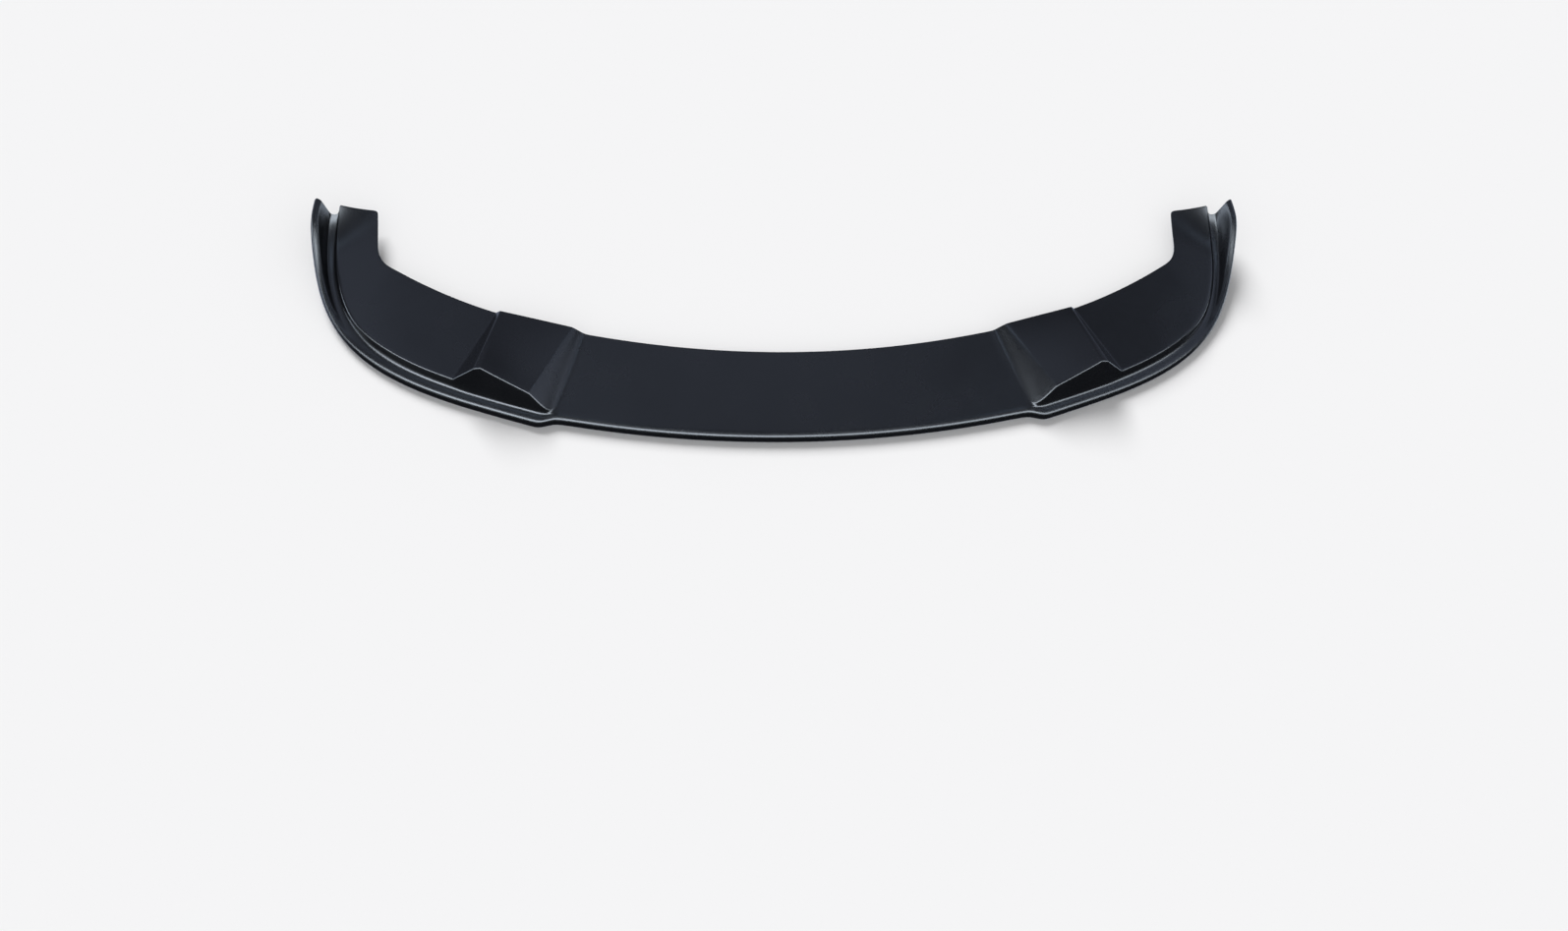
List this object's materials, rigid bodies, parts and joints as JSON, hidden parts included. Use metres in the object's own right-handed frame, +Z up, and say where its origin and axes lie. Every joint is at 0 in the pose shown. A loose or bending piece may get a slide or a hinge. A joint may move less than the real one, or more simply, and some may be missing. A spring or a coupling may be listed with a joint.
{
  "type": "front splitter lip",
  "caption": "Front bumper splitter lip: moulded black sheet with upright front flange, stepped ledges, raised wedges, side decks and turned-up end fins.",
  "frame": {"origin": "middle of the outline's width and depth, level with the lower edge of the front flange", "axes": "+X across the car towards one end fin, -Y forwards, +Z up"},
  "size_m": [1.8178, 0.4676, 0.0861],
  "materials": {
    "black_plastic": "satin"
  },
  "bodies": {
    "root": {"splitter_lip": "black_plastic"}
  },
  "joints": []
}
